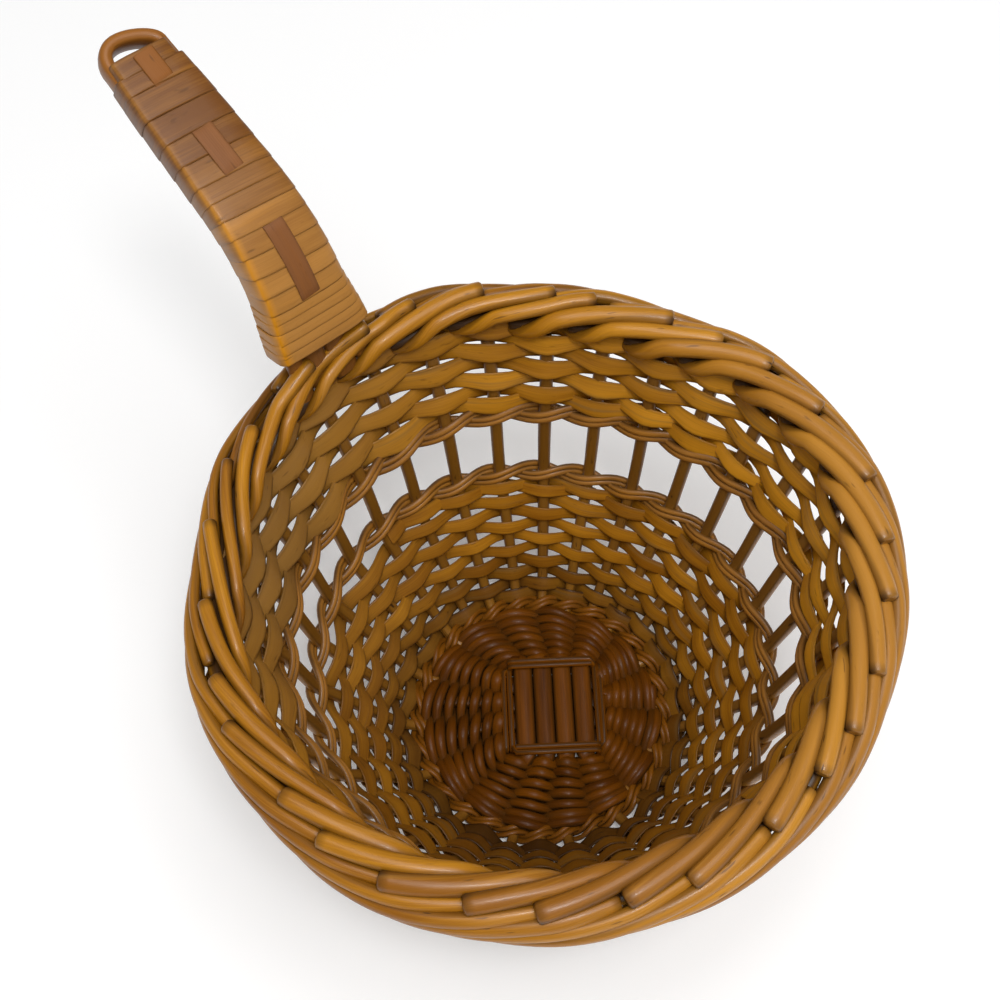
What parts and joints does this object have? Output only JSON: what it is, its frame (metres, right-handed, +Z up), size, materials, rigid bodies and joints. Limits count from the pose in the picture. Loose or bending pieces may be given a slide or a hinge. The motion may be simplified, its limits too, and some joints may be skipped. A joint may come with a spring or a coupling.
{
  "type": "wicker basket with handle",
  "caption": "Round woven cane basket with flared walls, an openwork band, a rolled rod border and one long lapped handle that ends in a hanging loop.",
  "frame": {"origin": "on the bowl's axis at the surface that the base stands on", "axes": "+Z up the bowl's axis, -X towards the handle"},
  "size_m": [0.312, 0.2294, 0.2337],
  "materials": {
    "stake": "varnished round cane, satin gloss",
    "skein": "varnished flat cane, satin gloss",
    "pairing": "varnished cane strand, satin gloss",
    "base": "varnished cane, satin gloss, darker",
    "handle": "varnished split rod, satin",
    "lapping": "varnished flat skein, satin gloss",
    "leader": "flat skein, nearly matt"
  },
  "bodies": {
    "root": {"stake_01": "stake", "stake_02": "stake", "stake_03": "stake", "stake_04": "stake", "stake_05": "stake", "stake_06": "stake", "stake_07": "stake", "stake_08": "stake", "stake_09": "stake", "stake_10": "stake", "stake_11": "stake", "stake_12": "stake", "stake_13": "stake", "stake_14": "stake", "stake_15": "stake", "stake_16": "stake", "stake_17": "stake", "stake_18": "stake", "stake_19": "stake", "stake_20": "stake", "stake_21": "stake", "stake_22": "stake", "stake_23": "stake", "stake_24": "stake", "stake_25": "stake", "stake_26": "stake", "stake_27": "stake", "stake_28": "stake", "stake_29": "stake", "stake_30": "stake", "base_lower_stick_01": "base", "base_lower_stick_02": "base", "base_lower_stick_03": "base", "base_lower_stick_04": "base", "base_upper_stick_01": "base", "base_upper_stick_02": "base", "base_upper_stick_03": "base", "base_upper_stick_04": "base", "base_lashing_01": "base", "base_lashing_02": "base", "base_lashing_03": "base", "base_lashing_04": "base", "base_weaver_a": "base", "upsett_pairing_a": "pairing", "lower_wall_weaver_a": "skein", "lower_band_pairing_a": "pairing", "upper_band_pairing_a": "pairing", "upper_wall_weaver_a": "skein", "base_weaver_b": "base", "upsett_pairing_b": "pairing", "lower_wall_weaver_b": "skein", "lower_band_pairing_b": "pairing", "upper_band_pairing_b": "pairing", "upper_wall_weaver_b": "skein", "handle_hairpin": "handle", "handle_filler_left": "handle", "handle_filler_right": "handle", "handle_lapping": "lapping", "handle_leader": "leader"}
  },
  "joints": []
}
